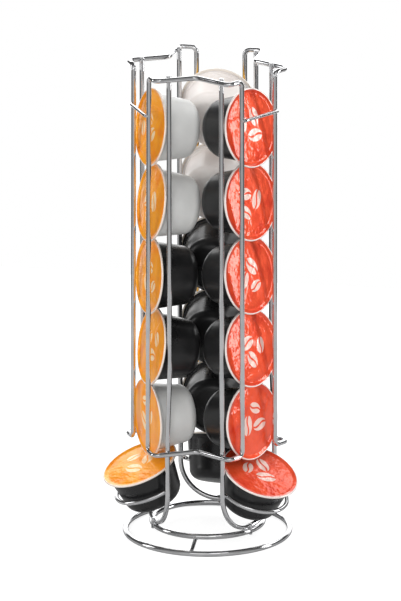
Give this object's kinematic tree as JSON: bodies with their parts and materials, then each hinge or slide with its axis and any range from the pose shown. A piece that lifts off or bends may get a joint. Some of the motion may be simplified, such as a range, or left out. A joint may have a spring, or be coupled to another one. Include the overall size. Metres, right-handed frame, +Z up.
{
  "type": "coffee capsule rack",
  "caption": "Free-standing chrome wire rack on a ring base; coffee capsules stand lid outward in upright channels, loaded from the top and taken from a tilted cradle at the foot.",
  "frame": {"origin": "the rack's upright centre line at the height of the table, midway between its three columns", "axes": "+Z up; -Y towards the front, between the left and the right column; +X to the right"},
  "size_m": [0.1348, 0.1314, 0.3338],
  "materials": {
    "wire": "polished",
    "cup_white": "gloss",
    "cup_black": "gloss",
    "foil_orange": "satin",
    "foil_red": "satin",
    "foil_amber": "satin"
  },
  "bodies": {
    "rack": {"outer_ring": "wire", "inner_ring": "wire", "ring_strut_front": "wire", "ring_strut_right": "wire", "ring_strut_left": "wire", "u_frame_left": "wire", "cradle_left": "wire", "front_bar_left": "wire", "foot_pin_left": "wire", "u_frame_right": "wire", "cradle_right": "wire", "front_bar_right": "wire", "foot_pin_right": "wire", "u_frame_back": "wire", "cradle_back": "wire", "front_bar_back": "wire", "foot_pin_back": "wire", "corner_loop_front": "wire", "corner_loop_right": "wire", "corner_loop_left": "wire"},
    "capsule_right_1": {"cup_right_1": "cup_black", "lid_right_1": "foil_red"},
    "capsule_right_2": {"cup_right_2": "cup_black", "lid_right_2": "foil_red"},
    "capsule_right_3": {"cup_right_3": "cup_black", "lid_right_3": "foil_red"},
    "capsule_right_4": {"cup_right_4": "cup_black", "lid_right_4": "foil_red"},
    "capsule_right_5": {"cup_right_5": "cup_black", "lid_right_5": "foil_red"},
    "capsule_right_6": {"cup_right_6": "cup_black", "lid_right_6": "foil_red"},
    "capsule_back_1": {"cup_back_1": "cup_white", "lid_back_1": "foil_amber"},
    "capsule_back_2": {"cup_back_2": "cup_white", "lid_back_2": "foil_amber"},
    "capsule_back_3": {"cup_back_3": "cup_black", "lid_back_3": "foil_amber"},
    "capsule_back_4": {"cup_back_4": "cup_black", "lid_back_4": "foil_amber"},
    "capsule_back_5": {"cup_back_5": "cup_black", "lid_back_5": "foil_amber"},
    "capsule_back_6": {"cup_back_6": "cup_black", "lid_back_6": "foil_amber"},
    "capsule_left_1": {"cup_left_1": "cup_white", "lid_left_1": "foil_orange"},
    "capsule_left_2": {"cup_left_2": "cup_white", "lid_left_2": "foil_orange"},
    "capsule_left_3": {"cup_left_3": "cup_black", "lid_left_3": "foil_orange"},
    "capsule_left_4": {"cup_left_4": "cup_black", "lid_left_4": "foil_orange"},
    "capsule_left_5": {"cup_left_5": "cup_white", "lid_left_5": "foil_orange"},
    "capsule_left_6": {"cup_left_6": "cup_black", "lid_left_6": "foil_orange"}
  },
  "joints": [
    {"name": "tip_right_6", "type": "hinge", "parent": "rack", "child": "capsule_right_6", "pos_m": [0.05571, -0.03216, 0.02864], "axis": [0.5, 0.866, 0], "range_deg": [0, 12]},
    {"name": "lift_right_5", "type": "slide", "parent": "rack", "child": "capsule_right_5", "axis": [0, 0, 1], "range_m": [0, 0.0096]},
    {"name": "lift_right_4", "type": "slide", "parent": "capsule_right_5", "child": "capsule_right_4", "axis": [0, 0, 1], "range_m": [0, 0.23]},
    {"name": "lift_right_3", "type": "slide", "parent": "capsule_right_4", "child": "capsule_right_3", "axis": [0, 0, 1], "range_m": [0, 0.18]},
    {"name": "lift_right_2", "type": "slide", "parent": "capsule_right_3", "child": "capsule_right_2", "axis": [0, 0, 1], "range_m": [0, 0.127]},
    {"name": "lift_right_1", "type": "slide", "parent": "capsule_right_2", "child": "capsule_right_1", "axis": [0, 0, 1], "range_m": [0, 0.075]},
    {"name": "tip_back_6", "type": "hinge", "parent": "rack", "child": "capsule_back_6", "pos_m": [0, 0.06433, 0.02864], "axis": [-1, 0, 0], "range_deg": [0, 12]},
    {"name": "lift_back_5", "type": "slide", "parent": "rack", "child": "capsule_back_5", "axis": [0, 0, 1], "range_m": [0, 0.0096]},
    {"name": "lift_back_4", "type": "slide", "parent": "capsule_back_5", "child": "capsule_back_4", "axis": [0, 0, 1], "range_m": [0, 0.23]},
    {"name": "lift_back_3", "type": "slide", "parent": "capsule_back_4", "child": "capsule_back_3", "axis": [0, 0, 1], "range_m": [0, 0.18]},
    {"name": "lift_back_2", "type": "slide", "parent": "capsule_back_3", "child": "capsule_back_2", "axis": [0, 0, 1], "range_m": [0, 0.127]},
    {"name": "lift_back_1", "type": "slide", "parent": "capsule_back_2", "child": "capsule_back_1", "axis": [0, 0, 1], "range_m": [0, 0.075]},
    {"name": "tip_left_6", "type": "hinge", "parent": "rack", "child": "capsule_left_6", "pos_m": [-0.05571, -0.03216, 0.02864], "axis": [0.5, -0.866, 0], "range_deg": [0, 12]},
    {"name": "lift_left_5", "type": "slide", "parent": "rack", "child": "capsule_left_5", "axis": [0, 0, 1], "range_m": [0, 0.0096]},
    {"name": "lift_left_4", "type": "slide", "parent": "capsule_left_5", "child": "capsule_left_4", "axis": [0, 0, 1], "range_m": [0, 0.23]},
    {"name": "lift_left_3", "type": "slide", "parent": "capsule_left_4", "child": "capsule_left_3", "axis": [0, 0, 1], "range_m": [0, 0.18]},
    {"name": "lift_left_2", "type": "slide", "parent": "capsule_left_3", "child": "capsule_left_2", "axis": [0, 0, 1], "range_m": [0, 0.127]},
    {"name": "lift_left_1", "type": "slide", "parent": "capsule_left_2", "child": "capsule_left_1", "axis": [0, 0, 1], "range_m": [0, 0.075]}
  ],
  "couplings": [
    {"joint": "lift_right_5", "follows": "tip_right_6", "m_per_rad": 0.045},
    {"joint": "lift_back_5", "follows": "tip_back_6", "m_per_rad": 0.045},
    {"joint": "lift_left_5", "follows": "tip_left_6", "m_per_rad": 0.045}
  ]
}
